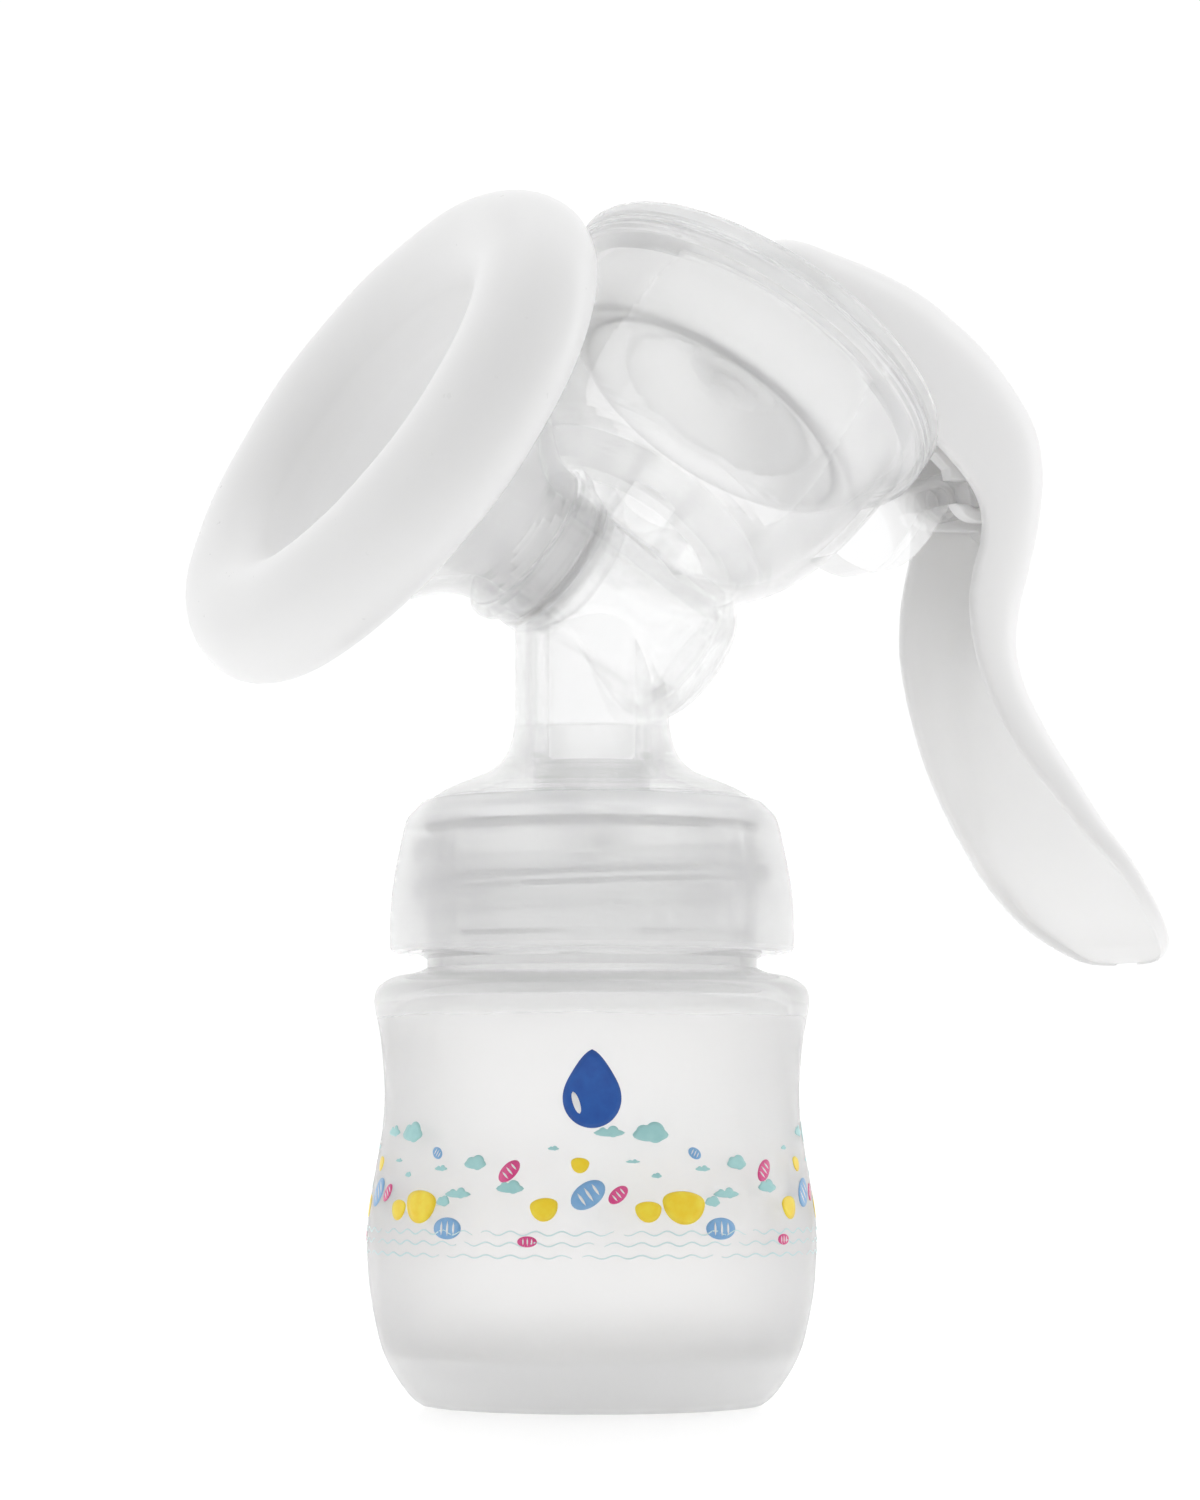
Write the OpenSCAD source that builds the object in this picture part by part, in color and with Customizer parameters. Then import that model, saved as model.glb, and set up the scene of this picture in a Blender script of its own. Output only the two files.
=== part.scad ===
// Manual breast pump: a lever pump head on a small wide-neck milk bottle.
// The bottle stands on z = 0, its axis is Z. The horn points to -X, the lever to +X.
// Bottle axis, tunnel axis and cup axis all cross in one point, the junction.

/* [Parts] */

/* [Axes] */
// Height of the junction above the table
junction_z = 124.8; // [110:0.1:140]
// Tilt of the horn axis above the horizontal
horn_tilt = 31.65; // [20:0.05:45]
// Tilt of the cup axis from the vertical
cup_tilt = 36.2; // [20:0.05:50]

/* [Horn] */
// Radius of the circle through the middle of the cushion's rim
rim_ring_r = 34.1; // [28:0.1:40]
// Radius of the round section of the cushion's rim
rim_r = 9.7; // [5:0.1:12]
// How far the rim reaches back from its middle plane
rim_back = 7.5; // [5:0.1:12]
// Distance of the rim's middle plane from the junction
rim_s = 40.35; // [35:0.05:50]

/* [Tunnel and neck] */
// Outer radius of the tunnel
tunnel_r = 12.4; // [10:0.1:15]
// Bore radius of the tunnel
tunnel_bore_r = 10.5; // [8:0.1:13]
// Length of the closed tunnel end behind the junction
tunnel_back = 21.2; // [18:0.1:28]
// Position of the tunnel's open end
tunnel_front = 13.6; // [10:0.1:16]
// Outer radius of the neck tube
neck_r = 11.9; // [10:0.1:14]
// Bore radius of the neck tube
neck_bore_r = 9.3; // [7:0.1:11]

/* [Cup] */
// Outer radius of the cup's rim and its ring
cup_rim_r = 32.8; // [28:0.1:36]
// Height of the cup's rim above the junction, along the cup axis
cup_rim_s = 48.1; // [40:0.1:52]
// Height of the ring on the cup's rim
cup_ring_h = 3.4; // [2:0.1:5]
// Radius of the hole between tunnel and cup
port_r = 6; // [3:0.1:8]

/* [Lever] */
// Pivot bar, x
pivot_x = 66; // [60:0.1:72]
// Pivot bar, z
pivot_z = 143; // [136:0.1:148]
// Radius of the pivot bar
pivot_r = 2.4; // [1.5:0.1:3]
// Radial clearance of the lever on the pivot bar
pivot_gap = 0.08; // [0.02:0.01:0.1]
// Height of the stem's cross bar above the junction, along the cup axis
cross_s = 59; // [55:0.1:64]
// Radius of the stem's cross bar
cross_r = 2.2; // [1.5:0.1:3]
// Wall of the lever's shell
lever_wall = 2; // [1.2:0.1:3]

/* [Hidden] */
$fn = 96;
seat_gap = 0.05;
junction = [0, 0, junction_z];
cup_dir = [sin(cup_tilt), 0, cos(cup_tilt)];
cross_bar = junction + cross_s * cup_dir;
pivot = [pivot_x, 0, pivot_z];
lug_half = 4.5;
bar_half = 8;
rib_in = 4.9;
rib_out = 7.7;
rib_reach = 0.8;
clear_white = [0.93, 0.95, 0.96, 0.45];
milky = [0.95, 0.95, 0.94, 0.8];
silicone = [0.97, 0.97, 0.96, 0.9];
white = [0.98, 0.98, 0.97];

// ---- helpers ----

function spline(a, b, c, d, t) =
    0.5 * (2 * b + (c - a) * t + (2 * a - 5 * b + 4 * c - d) * t * t
    + (3 * b - a - 3 * c + d) * t * t * t);

// A smooth curve through the points of p, with n steps between two points.
function smooth(p, n = 3) = concat(
    [for (i = [0 : len(p) - 2]) for (k = [0 : n - 1])
        spline(p[max(i - 1, 0)], p[i], p[i + 1], p[min(i + 2, len(p) - 1)], k / n)],
    [p[len(p) - 1]]);

// An arc of a circle as a list of points, from angle a to angle b.
function arc(c, r, a, b, n) = [for (i = [0 : n]) c + r * [cos(a + (b - a) * i / n),
    sin(a + (b - a) * i / n)]];

module turned(points) rotate_extrude() polygon(points);

module on_horn_axis() translate(junction) rotate([0, horn_tilt - 90, 0]) children();

module on_cup_axis() translate(junction) rotate([0, cup_tilt, 0]) children();

// A plate in the XZ plane between two distances from it, on both sides.
module plates(inner, outer) {
    for (side = [-1, 1]) {
        translate([0, side * (inner + outer) / 2, 0])
            rotate([90, 0, 0]) linear_extrude(outer - inner, center = true) children();
    }
}

module fin(half) rotate([90, 0, 0]) linear_extrude(2 * half, center = true) children();

// ---- bottle ----

bottle_wall = [[26, 0], [27.4, 1], [29.1, 3.1], [31, 6.2], [32.2, 9.2], [33.3, 13.9], [34, 18.5],
    [34.3, 23.9], [34.1, 28.6], [33.3, 33.9], [32.5, 38.5], [31.9, 42.6], [31.7, 47],
    [31.9, 51], [32.35, 55.6], [33, 59], [33.3, 61.4], [32.6, 63.4], [30.3, 64.8], [27.2, 65.4],
    [25.25, 66.2]];
bottle_inside = [[23.2, 66.5], [25.5, 63.6], [30, 62.2], [31.1, 60.2], [30.5, 55.6],
    [29.9, 47], [30.6, 38.5], [32.1, 28.6], [32.4, 23.9], [31.9, 17], [30.2, 11.5], [27, 7],
    [22, 4.2], [15, 3.1], [0, 3]];
mouth_z = 87;

module bottle() color(milky) difference() {
    union() {
        turned(concat([[0, 0]], smooth(bottle_wall), [[25.25, mouth_z - 0.6], [24.7, mouth_z],
            [0, mouth_z]]));
        for (z = [72.6, 77.6, 82.6]) translate([0, 0, z])
            turned([[24.5, 0], [26, 0], [26.8, 0.6], [26.8, 1.1], [26, 1.8], [24.5, 1.8]]);
    }
    turned(concat([[0, mouth_z + 1], [23.2, mouth_z + 1]], smooth(bottle_inside)));
}

module bottle_gasket() color(silicone) translate([0, 0, mouth_z + seat_gap])
    turned([[23.2, 0.2], [23.4, 0], [25.4, 0], [25.6, 0.2], [25.6, 1], [25.4, 1.2], [23.4, 1.2],
        [23.2, 1]]);

// ---- screw ring ----

ring_outside = [[27, 90.7], [28, 89.7], [28.5, 88.8], [29, 87], [29.5, 84.6], [30.1, 81.6],
    [30.6, 78.6], [30.9, 75.5], [31, 72], [31, 69.4]];
thread_r = 27.15;

module screw_ring() color(milky) turned(concat([[25.9, 90.55], [25.4, 90.7], [25.4, 91.5],
    [25.7, 91.8], [26.2, 91.5]], smooth(ring_outside), [[30.7, 68.8], [29.9, 68.5], [28.3, 68.6],
    [28.1, 69.2], [28.1, 70.5], [thread_r, 71.4], [thread_r, 85.5], [26.5, 87.4],
    [26.5, 90.2], [26.2, 90.55]]));

// ---- pump body ----

dome_outside = [[neck_r, 104], [12.3, 101.6], [13.3, 98.8], [15.4, 96.6], [18.3, 95.3],
    [21.9, 93.8], [24.3, 92.4], [25, 91.4]];
dome_inside = [[23.2, 88.2], [23, 90], [20.5, 92.2], [16.5, 93.8], [13.2, 95], [10.8, 96.4],
    [neck_bore_r + 0.1, 97.8]];
flange_z = 88.3;
bowl_outside = [[13, 11.2], [17.6, 11.8], [20.6, 13.3], [23.3, 16.4], [25.8, 20.3], [27.9, 25.6],
    [29.4, 32], [30.2, 38.5], [30.6, 43]];
bowl_inside = [[28.7, 45.6], [28.5, 40], [27.6, 32], [26.1, 26.2], [24.2, 21.8], [21.9, 18.7],
    [19, 17]];

module neck_outer() turned(concat([[0, flange_z], [26.1, flange_z], [26.1, 90.3], [25, 90.4]],
    [for (i = [len(smooth(dome_outside)) - 1 : -1 : 0]) smooth(dome_outside)[i]],
    [[neck_r, junction_z], [0, junction_z]]));

module neck_inner() turned(concat([[0, flange_z - 1], [23.2, flange_z - 1]],
    smooth(dome_inside), [[neck_bore_r, 98.2], [neck_bore_r, junction_z - 2],
    [0, junction_z - 2]]));

module tunnel_outer() on_horn_axis() turned(concat([[0, -tunnel_back - 1.4]],
    smooth([[6.5, -tunnel_back - 1.1], [9.7, -tunnel_back - 0.1], [11.6, -tunnel_back + 1.6],
    [12.3, -tunnel_back + 3.6]]), [[tunnel_r, -tunnel_back + 5], [tunnel_r, tunnel_front - 3.2],
    [13.3, tunnel_front - 2.6], [13.7, tunnel_front - 1.6], [13.6, tunnel_front - 0.5],
    [13, tunnel_front], [0, tunnel_front]]));

module tunnel_inner() on_horn_axis() turned([[0, 2.6 - tunnel_back - 1.4],
    [7.5, 2.2 - tunnel_back], [9.9, 3.8 - tunnel_back], [tunnel_bore_r, 6 - tunnel_back],
    [tunnel_bore_r, tunnel_front + 1], [0, tunnel_front + 1]]);

module cup_outer() on_cup_axis() turned(concat([[0, 6]], [[12.5, 6]], smooth(bowl_outside),
    [[31.8, 43.7], [32.5, 44.2], [32.6, 45.1], [32.1, 45.4], [32.1, 45.8], [cup_rim_r - 0.1, 46.1],
    [cup_rim_r - 0.1, 46.4], [cup_rim_r - 0.4, 46.6], [cup_rim_r - 0.4, 46.8], [cup_rim_r, 47],
    [cup_rim_r, cup_rim_s - 0.3], [cup_rim_r - 0.3, cup_rim_s],
    [0, cup_rim_s]]));

module cup_inner() on_cup_axis() {
    turned(concat([[0, cup_rim_s + 1], [31.3, cup_rim_s + 1], [31.3, 45.6]], smooth(bowl_inside),
        [[0, 17]]));
    cylinder(h = 18, r = port_r);
}

module lug() fin(lug_half) polygon(concat(
    smooth([[38, 135], [42.6, 131.4], [48, 129.7], [53.6, 131], [58, 134.8], [61.2, 139.2],
    [62.6, 141.3]]),
    arc([pivot_x, pivot_z], 3.6, -153, 80, 10),
    [[60.4, 146], [56.6, 143.6], [50, 140.4], [42, 139]]));

module pump_body() color(clear_white) difference() {
    union() {
        neck_outer();
        tunnel_outer();
        cup_outer();
        lug();
        translate(pivot) rotate([90, 0, 0]) cylinder(h = 2 * bar_half, r = pivot_r, center = true);
    }
    neck_inner();
    tunnel_inner();
    cup_inner();
}

// ---- valve ----

module duckbill_valve() color(white) difference() {
    union() {
        turned([[0, 97.2], [9.1, 97.2], [neck_bore_r - seat_gap, 98.4], [9.2, 102.8], [8.8, 103.2],
            [0, 103.2]]);
        intersection() {
            fin(9) polygon([[-8.9, 97.6], [-8.6, 95.6], [-1.3, 83], [1.3, 83], [8.6, 95.6],
                [8.9, 97.6]]);
            translate([0, 0, 82]) cylinder(h = 17, r = 8.9);
        }
    }
    translate([0, 0, 97.4]) cylinder(h = 14, r = 7.8);
    intersection() {
        fin(7.6) polygon([[-7.6, 98], [-7.2, 95.4], [-0.25, 84], [-0.25, 82], [0.25, 82],
            [0.25, 84], [7.2, 95.4], [7.6, 98]]);
        translate([0, 0, 81]) cylinder(h = 18, r = 7.6);
    }
}

// ---- horn ----

shell_outside = [[tunnel_r, 14.6], [12.8, 16.6], [14.2, 19.3], [16.7, 22.3], [20.2, 25.8],
    [24.6, 29.6], [29.4, 33.4], [33.6, 36.4]];
shell_inside = [[32.4, 38.2], [28.2, 35], [23.3, 31.1], [18.8, 27.2], [15, 23.6], [12, 20.2],
    [9.8, 17.2], [8.8, 14.4]];
spigot_r = tunnel_bore_r - seat_gap;

module horn_shell() color(clear_white) on_horn_axis() turned(concat(
    [[8.8, 3], [spigot_r - 0.4, 3], [spigot_r, 3.4], [spigot_r, 6.6], [9.2, 6.6], [9.2, 8.4],
    [spigot_r, 8.4], [spigot_r, tunnel_front + seat_gap], [tunnel_r, tunnel_front + seat_gap]],
    smooth(shell_outside), [[34.9, 37.3], [35, 37.9], [34.6, 38.5], [33.8, 38.7]],
    smooth(shell_inside)));

module socket_o_ring() color(silicone) on_horn_axis() translate([0, 0, 7.5])
    rotate_extrude() translate([9.85, 0]) circle(r = 0.6, $fn = 24);

cushion_back = [[31.9, 38.6], [27.8, 35.5], [22.9, 31.6], [18.4, 27.7], [14.6, 24], [11.6, 20.6],
    [9.45, 17.5], [8.45, 14.4]];
cushion_front = [[6.9, 14.6], [7.4, 17.8], [9.2, 21.4], [12.4, 25.4], [16.6, 29.7], [20.6, 33.4],
    [23.2, 36.8], [24.2, 38.6]];

module massage_cushion() color(silicone) on_horn_axis() turned(concat(
    [[35.5, 33.6], [35.5, 38], [34.9, 39.2], [33.8, 39.4]], smooth(cushion_back),
    [[8.45, 5], [8.1, 4.6], [7.2, 4.6], [6.9, 5]], smooth(cushion_front),
    arc([rim_ring_r, rim_s], rim_r, 178, 0, 30),
    [for (a = [-6 : -6 : -72]) [rim_ring_r + rim_r * cos(a), rim_s + rim_back * sin(a)]],
    [[36.4, 33.1], [35.9, 33.2]]));

// ---- diaphragm and stem ----

membrane_top = [[28.3, 47.9], [26.9, 47.2], [26.3, 45], [25.4, 40.4], [24, 37.6], [21.8, 36.6],
    [19.4, 37.4], [16.6, 40.4], [12.8, 44.2], [9, 46.4], [6.6, 47]];
membrane_bottom = [[6.4, 44.6], [8.4, 44.4], [11.6, 42.7], [15.4, 39.2], [18.4, 36.1],
    [21.8, 35], [25.3, 36.7], [26.9, 40.2], [27.7, 44]];

module diaphragm() color(silicone) on_cup_axis() turned(concat(
    [[31.2, 45.7], [31.2, 48.4], [30.9, 48.7], [29.3, 48.7], [29, 48.4], [28.9, 48]],
    smooth(membrane_top), [[3.6, 47], [3.6, 43.8], [6, 43.8]], smooth(membrane_bottom),
    [[28, 45.7]]));

module diaphragm_stem() color(white) {
    on_cup_axis() {
        turned([[0, 39.4], [2.6, 39.4], [3.2, 40], [3.2, 41.4], [2.7, 41.6], [2.7, 43.2],
            [3.5, 43.4], [3.5, 47.1], [9.4, 47.1], [9.8, 47.5], [9.8, 48.3], [9.4, 48.7],
            [5.4, 49], [4, 50.4], [3.5, 52.6], [3.5, cross_s], [0, cross_s]]);
        translate([0, 0, cross_s]) sphere(r = 3.5);
    }
    translate(cross_bar) rotate([90, 0, 0]) cylinder(h = 16.4, r = cross_r, center = true);
}

module stem_retainer() color(white) on_cup_axis()
    turned([[2.8, 41.7], [5.2, 41.7], [7.6, 42.3], [7.6, 42.9], [7, 43.2], [2.8, 43.2]]);

module cup_ring() color(clear_white) on_cup_axis() turned([[27.6, 48.9], [29, 48.8], [29, 48.75],
    [31.4, 48.75], [31.5, 48.4], [cup_rim_r - 0.3, 48.4], [cup_rim_r, 48.7],
    [cup_rim_r, 50.1], [cup_rim_r - 0.5, 51], [cup_rim_r - 1.5, cup_rim_s + cup_ring_h],
    [28.4, cup_rim_s + cup_ring_h], [27.6, 50.9]]);

// ---- lever ----

// Each station of the lever: rim x, rim z, back x, back z, half width.
stations = [[25, 176.2, 26.1, 179.4, 7], [26.4, 174.6, 29.6, 181.4, 9.8],
    [29, 172.4, 34.1, 181.9, 11.4], [34, 168.6, 40.9, 180.5, 12.2], [40, 163.6, 49.3, 178.4, 12.6],
    [46, 158.5, 57.4, 175.4, 12.7], [51, 153.8, 64.2, 171.3, 12.7], [55.8, 149.6, 71.3, 165.7, 12.6],
    [61, 144.9, 78.5, 156.7, 12.4], [63.8, 141.2, 80.6, 148.7, 12.1], [64.7, 137.6, 80, 141.4, 11.8],
    [64.4, 134, 79, 136, 11.5], [63.3, 130, 77.7, 131, 11.3], [62.5, 124.9, 75.8, 124.9, 11.4],
    [62.8, 118.5, 74.6, 118.1, 12.1], [64.5, 111.5, 75.7, 112.3, 12.9], [67.4, 104.6, 77.9, 107.2, 14.3],
    [70.3, 99.5, 79.7, 103.3, 15.7], [74.4, 93.8, 82.3, 98.2, 17.5], [79.4, 87.5, 85.6, 91.7, 19.1],
    [84.5, 81.9, 89.2, 85.6, 20.6], [90.1, 75.7, 94, 79, 19.4], [94.1, 72, 97.3, 74.9, 16.8],
    [96.8, 69.8, 99, 71.9, 14], [98.2, 68.7, 99.4, 70.2, 10.8],
    [98.8, 68.3, 99.7, 69.4, 7.4], [99.05, 68.15, 99.8, 69, 3.6]];
half_points = 10;

// Across a station: u runs from -1 to 1 over the width, returns the depth there, 0 to 1.
function bulge(u) = pow(max(0, 1 - pow(abs(u), 2.5)), 0.4);

function across(i) = sin(90 * i / half_points);

function shell_point(s, u, wall) = let (d = [s[2] - s[0], s[3] - s[1]], l = norm(d))
    let (k = bulge(u) * max(0.15, (l - wall) / l))
    [s[0] + d[0] * k, u * max(1, s[4] - wall), s[1] + d[1] * k];

function section(s) = concat(
    [for (i = [-half_points : half_points]) shell_point(s, across(i), 0)],
    [for (i = [half_points : -1 : -half_points]) shell_point(s, across(i), lever_wall)]);

// Two triangles for the four corners of a patch.
function patch(a, b, c, d) = [[c, b, a], [d, c, a]];

// The open channel through a list of sections, closed at both ends by strips across its wall.
module loft(sections) {
    m = len(sections[0]);
    n = len(sections);
    last = (n - 1) * m;
    polyhedron(points = [for (s = sections) each s], faces = concat(
        [for (j = [0 : m / 2 - 2]) each patch(j, j + 1, m - 2 - j, m - 1 - j)],
        [for (i = [0 : n - 2]) for (j = [0 : m - 1]) let (k = (j + 1) % m)
            each patch(i * m + j, (i + 1) * m + j, (i + 1) * m + k, i * m + k)],
        [for (j = [0 : m / 2 - 2])
            each patch(last + m - 1 - j, last + m - 2 - j, last + j + 1, last + j)]));
}

function back_at(i, k) = [stations[i][0] + k * (stations[i][2] - stations[i][0]),
    stations[i][1] + k * (stations[i][3] - stations[i][1])];

slot_dir = [cross_bar[0] - pivot_x, cross_bar[2] - pivot_z] / norm([cross_bar[0] - pivot_x,
    cross_bar[2] - pivot_z]);

module slot_outline() for (t = [0 : 0.5 : 3.5])
    translate([cross_bar[0], cross_bar[2]] + t * slot_dir) circle(r = cross_r + 0.5, $fn = 32);

module handle() color(white) {
    difference() {
        union() {
            loft([for (s = smooth(stations, 2)) section(s)]);
            plates(rib_in, rib_out) polygon(concat(
                [for (i = [2 : 11]) back_at(i, rib_reach)],
                [[74, 138.6], [66, 138.4]],
                arc([pivot_x, pivot_z], 4.6, -100, -170, 5),
                [[60.5, 146.6], [56.2, 150.2], [31, 169]]));
        }
        plates(rib_in - 1, rib_out + 1) slot_outline();
        plates(rib_in - 1, rib_out + 1) union() {
            translate([pivot_x, pivot_z]) circle(r = pivot_r + pivot_gap);
            translate([pivot_x - 8, pivot_z - 1.9]) square([8, 3.8]);
        }
    }
}

bottle();
bottle_gasket();
screw_ring();
pump_body();
duckbill_valve();
horn_shell();
socket_o_ring();
massage_cushion();
diaphragm();
diaphragm_stem();
stem_retainer();
cup_ring();
handle();
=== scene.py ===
import math

import bmesh
import bpy
from mathutils import Matrix, Vector


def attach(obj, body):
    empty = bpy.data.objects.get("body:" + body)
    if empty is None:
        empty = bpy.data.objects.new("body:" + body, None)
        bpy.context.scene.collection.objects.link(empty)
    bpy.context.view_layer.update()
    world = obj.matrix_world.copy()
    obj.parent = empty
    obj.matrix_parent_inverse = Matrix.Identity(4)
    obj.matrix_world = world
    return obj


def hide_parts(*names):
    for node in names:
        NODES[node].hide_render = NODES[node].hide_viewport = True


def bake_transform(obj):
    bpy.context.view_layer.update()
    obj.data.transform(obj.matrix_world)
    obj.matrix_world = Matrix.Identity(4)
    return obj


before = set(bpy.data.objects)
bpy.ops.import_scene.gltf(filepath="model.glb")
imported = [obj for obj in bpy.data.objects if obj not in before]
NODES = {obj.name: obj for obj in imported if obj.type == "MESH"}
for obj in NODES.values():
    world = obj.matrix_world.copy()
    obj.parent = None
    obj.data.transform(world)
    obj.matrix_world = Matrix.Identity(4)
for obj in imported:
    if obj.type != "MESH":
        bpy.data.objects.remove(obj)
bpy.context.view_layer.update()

# Lengths below are in millimetres, as in the part's source, and MM turns them into metres.
MM = 0.001


# ---- the object's own axes ----

JUNCTION_Z = 124.8                 # height where the axes of neck, horn and cup meet
HORN_TILT = math.radians(31.65)    # how far the horn's axis rises above the horizontal
CUP_TILT = math.radians(36.2)      # how far the cup's axis leans from the vertical
PIVOT = (66.0, 143.0)              # x and z of the bar that the lever turns on
CROSS_BAR_S = 59.0                 # place of the stem's cross bar along the cup's axis


def on_axis(turn):
    """A place whose Z runs along a tilted axis through the junction, in millimetres."""
    return Matrix.Translation((0, 0, JUNCTION_Z)) @ Matrix.Rotation(turn, 4, "Y")


UPRIGHT = Matrix.Identity(4)
HORN = on_axis(HORN_TILT - math.pi / 2)
CUP = on_axis(CUP_TILT)


# ---- outlines ----

def smooth(points, steps=6):
    """A smooth curve through the points, with some steps between each two."""
    out = []
    last = len(points) - 1
    for i in range(last):
        a, b, c, d = (Vector(points[max(0, min(last, k))]) for k in (i - 1, i, i + 1, i + 2))
        for k in range(steps):
            t = k / steps
            out.append(tuple(0.5 * (2 * b + (c - a) * t + (2 * a - 5 * b + 4 * c - d) * t * t
                                    + (3 * b - a - 3 * c + d) * t ** 3)))
    return out + [tuple(points[-1])]


def arc(centre, radius, start, end, steps):
    """Points on an arc, with angles in degrees."""
    turns = [math.radians(start + (end - start) * i / steps) for i in range(steps + 1)]
    return [(centre[0] + radius * math.cos(a), centre[1] + radius * math.sin(a)) for a in turns]


# ---- mesh helpers ----

SAME_POINT = 1e-7    # metres; points closer than this become one
NO_LENGTH = 1e-8     # metres; edges shorter than this are dissolved


def link_new(name, data):
    """An object around its data, in the scene."""
    made = bpy.data.objects.new(name, data)
    bpy.context.scene.collection.objects.link(made)
    return made


def closed_piece(name, mesh, sharp_degrees):
    """A piece from a rough mesh: points joined, faces turned outwards, smooth between its edges."""
    work = bmesh.new()
    work.from_mesh(mesh)
    bmesh.ops.remove_doubles(work, verts=work.verts, dist=SAME_POINT)
    bmesh.ops.dissolve_degenerate(work, edges=work.edges, dist=NO_LENGTH)
    bmesh.ops.recalc_face_normals(work, faces=work.faces)
    work.to_mesh(mesh)
    work.free()
    mesh.shade_smooth()
    mesh.set_sharp_from_angle(angle=math.radians(sharp_degrees))
    return link_new(name, mesh)


def mesh_object(name, points, faces, place=UPRIGHT, sharp_degrees=40):
    """A piece from points in millimetres and the faces between them."""
    mesh = bpy.data.meshes.new(name)
    mesh.from_pydata([tuple((place @ Vector(p)) * MM) for p in points], [], faces)
    return closed_piece(name, mesh, sharp_degrees)


def grid_faces(rows, columns, around=True, offset=0):
    """Quads between rows of points; each row closes on itself when around is true."""
    last = columns if around else columns - 1
    return [(offset + i * columns + j, offset + i * columns + (j + 1) % columns,
             offset + (i + 1) * columns + (j + 1) % columns, offset + (i + 1) * columns + j)
            for i in range(rows - 1) for j in range(last)]


def lathe(name, outline, place=UPRIGHT, steps=180, ripple=None, sharp_degrees=40):
    """A turned piece from its closed outline in (radius, height); ripple shifts single points."""
    points = []
    for i in range(steps):
        a = 2 * math.pi * i / steps
        for r, s in outline:
            if ripple:
                r, s = ripple(r, s, a)
            points.append((r * math.cos(a), r * math.sin(a), s))
    faces = grid_faces(steps, len(outline))
    first = (steps - 1) * len(outline)
    faces += [(first + j, first + (j + 1) % len(outline), (j + 1) % len(outline), j)
              for j in range(len(outline))]
    return mesh_object(name, points, faces, place, sharp_degrees)


def helix(name, section, start_z, turns, taper_degrees=25, steps=72):
    """A screw thread. section gives (radius, height) points; its last point is at the root."""
    count = int(turns * steps) + 1
    root = section[-1][0]
    points = []
    for i in range(count):
        a = 2 * math.pi * i / steps
        z = start_z + THREAD_PITCH * i / steps
        from_end = min(i, count - 1 - i) * 360 / steps / taper_degrees
        lift = math.sin(min(1, from_end) * math.pi / 2) * 0.98 + 0.02
        for r, s in section:
            radius = root + (r - root) * lift
            points.append((radius * math.cos(a), radius * math.sin(a), z + s))
    n = len(section)
    faces = grid_faces(count, n)
    faces += [tuple(range(n)), tuple(range((count - 1) * n, count * n))[::-1]]
    return mesh_object(name, points, faces, sharp_degrees=50)


def finish_with(piece, material):
    piece.data.materials.clear()
    piece.data.materials.append(material)


def settle(piece, body, slot, material, *replaced):
    """Puts a finished piece on its body, with its finish and the CAD nodes that it stands for."""
    finish_with(piece, material)
    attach(piece, body)
    if replaced:
        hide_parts(*replaced)
    return piece


# ---- materials ----

class Surface:
    """A Principled material with short calls for the nodes in front of it."""

    def __init__(self, name, **sockets):
        self.material = bpy.data.materials.new(name)
        self.material.use_nodes = True
        self.tree = self.material.node_tree
        self.shader = self.tree.nodes["Principled BSDF"]
        for key, value in sockets.items():
            self.shader.inputs[key.replace("_", " ")].default_value = value
        self.place = self.tree.nodes.new("ShaderNodeTexCoord").outputs["Object"]

    def node(self, kind, inputs=(), **values):
        made = self.tree.nodes.new("ShaderNode" + kind)
        for key, value in values.items():
            setattr(made, key, value)
        for key, value in dict(inputs).items():
            if isinstance(value, bpy.types.NodeSocket):
                self.tree.links.new(value, made.inputs[key])
            else:
                made.inputs[key].default_value = value
        return made

    def noise(self, scale, detail, stretch=(1, 1, 1)):
        place = self.node("Mapping", {"Vector": self.place, "Scale": stretch}).outputs[0]
        made = self.node("TexNoise", {"Vector": place, "Scale": scale, "Detail": detail})
        return made.outputs["Fac"]

    def ramp(self, factor, stops):
        made = self.node("ValToRGB", {"Fac": factor})
        band = made.color_ramp
        while len(band.elements) < len(stops):
            band.elements.new(0.5)
        for element, (at, colour) in zip(band.elements, stops):
            element.position = at
            element.color = (*colour, 1)
        return made.outputs["Color"]

    def height(self, low, high):
        """0 at the low height and 1 at the high one, in millimetres."""
        z = self.node("SeparateXYZ", {"Vector": self.place}).outputs["Z"]
        made = self.node("MapRange", {"Value": z, "From Min": low * MM, "From Max": high * MM})
        return made.outputs[0]

    def spread(self, factor, low, high):
        return self.node("MapRange", {"Value": factor, "To Min": low, "To Max": high}).outputs[0]

    def combine(self, operation, first, second):
        return self.node("Math", {0: first, 1: second}, operation=operation).outputs[0]

    def link(self, source, socket):
        self.tree.links.new(source, self.shader.inputs[socket])

    def glow(self, red, green, blue):
        """How far light of each colour wanders inside the material, in metres."""
        self.shader.inputs["Subsurface Radius"].default_value = (red, green, blue)
        self.shader.inputs["Subsurface Scale"].default_value = 1.0

    def bump(self, height, strength, distance):
        made = self.node("Bump", {"Height": height, "Strength": strength, "Distance": distance})
        self.link(made.outputs["Normal"], "Normal")


# Heights and radii in millimetres where a finish changes, or where the cushion's painted light
# fades out.
DOME_TOP_Z = (97, 106)    # the dome's finish below the first, the neck's above the second
NECK_Z = (96, 118)        # the haze changes between these
FUNNEL_EDGE_R, RIM_START_R = 23.6, 25.2    # round the horn's axis, from thin silicone to thick, where the cushion's painted light fades out


def grey(value, warm=0.0):
    return (value + warm, value, value - warm)


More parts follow.
